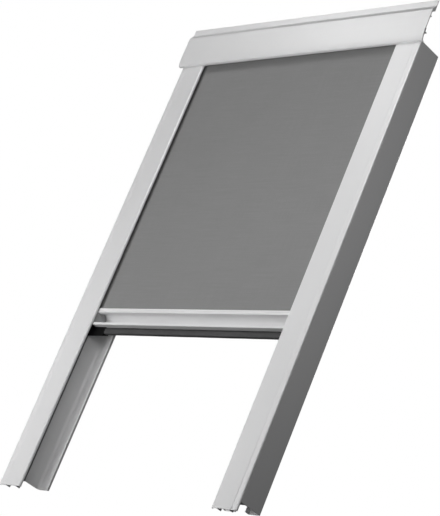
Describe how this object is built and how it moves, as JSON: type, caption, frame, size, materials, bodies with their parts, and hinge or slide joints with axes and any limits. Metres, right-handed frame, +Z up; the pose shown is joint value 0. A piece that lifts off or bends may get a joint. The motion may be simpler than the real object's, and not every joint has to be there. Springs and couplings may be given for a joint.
{
  "type": "roof window roller mesh blind",
  "caption": "Roller mesh blind for a roof window: side rails with wide covers, a fascia over the roller casing, and a grip bar with a dark seal that draws the mesh down.",
  "frame": {"origin": "midway between the rails, in the covers' front plane, level with the covers' lower ends", "axes": "+X across the window, +Y away from the room, +Z up along the rails"},
  "size_m": [0.5614, 0.0565, 0.8945],
  "materials": {
    "left_base_rail": "white powder coat, satin",
    "right_base_rail": "white powder coat, satin",
    "left_front_cover": "white powder coat, satin",
    "right_front_cover": "white powder coat, satin",
    "left_pile_strip": "short grey brush pile",
    "right_pile_strip": "short grey brush pile",
    "left_end_bracket": "moulded grey plastic",
    "right_end_bracket": "moulded grey plastic",
    "left_outer_bracket_screw": "zinc-plated steel",
    "left_inner_bracket_screw": "zinc-plated steel",
    "right_outer_bracket_screw": "zinc-plated steel",
    "right_inner_bracket_screw": "zinc-plated steel",
    "left_fascia_clip": "spring steel strip",
    "right_fascia_clip": "spring steel strip",
    "top_fascia": "white powder coat, satin",
    "head_casing": "white powder coat, satin",
    "spring_shaft": "plain steel",
    "idler_pin": "plain steel",
    "torsion_spring": "oiled spring wire",
    "spring_collar": "black nylon",
    "roller_tube": "mill finish aluminium",
    "left_roller_plug": "black nylon",
    "right_roller_plug": "black nylon",
    "mesh_roll": "coated grey mesh",
    "mesh_screen": "coated grey mesh",
    "bottom_bar": "white powder coat, satin",
    "mesh_rod": "extruded grey plastic",
    "left_bar_cap": "moulded grey plastic",
    "right_bar_cap": "moulded grey plastic",
    "bar_seal": "matt foam rubber",
    "left_guide_block": "black nylon",
    "right_guide_block": "black nylon"
  },
  "bodies": {
    "frame": {"left_base_rail": "left_base_rail", "right_base_rail": "right_base_rail", "left_front_cover": "left_front_cover", "right_front_cover": "right_front_cover", "left_pile_strip": "left_pile_strip", "right_pile_strip": "right_pile_strip", "left_end_bracket": "left_end_bracket", "right_end_bracket": "right_end_bracket", "left_outer_bracket_screw": "left_outer_bracket_screw", "left_inner_bracket_screw": "left_inner_bracket_screw", "right_outer_bracket_screw": "right_outer_bracket_screw", "right_inner_bracket_screw": "right_inner_bracket_screw", "left_fascia_clip": "left_fascia_clip", "right_fascia_clip": "right_fascia_clip", "top_fascia": "top_fascia", "head_casing": "head_casing", "spring_shaft": "spring_shaft", "idler_pin": "idler_pin", "torsion_spring": "torsion_spring", "spring_collar": "spring_collar"},
    "roller": {"roller_tube": "roller_tube", "left_roller_plug": "left_roller_plug", "right_roller_plug": "right_roller_plug", "mesh_roll": "mesh_roll"},
    "bar": {"bottom_bar": "bottom_bar", "mesh_rod": "mesh_rod", "mesh_screen": "mesh_screen", "left_bar_cap": "left_bar_cap", "right_bar_cap": "right_bar_cap", "bar_seal": "bar_seal", "left_guide_block": "left_guide_block", "right_guide_block": "right_guide_block"}
  },
  "joints": [
    {"name": "bar_slide", "type": "slide", "parent": "frame", "child": "bar", "axis": [0, 0, 1], "range_m": [-0.265, 0.475], "deforming": ["mesh_screen"]},
    {"name": "roller_spin", "type": "hinge", "parent": "frame", "child": "roller", "pos_m": [0, 0.0205, 0.848], "axis": [1, 0, 0], "range_deg": [-2320, 1300]}
  ],
  "couplings": [
    {"joint": "roller_spin", "follows": "bar_slide", "rad_per_m": -84.746}
  ]
}
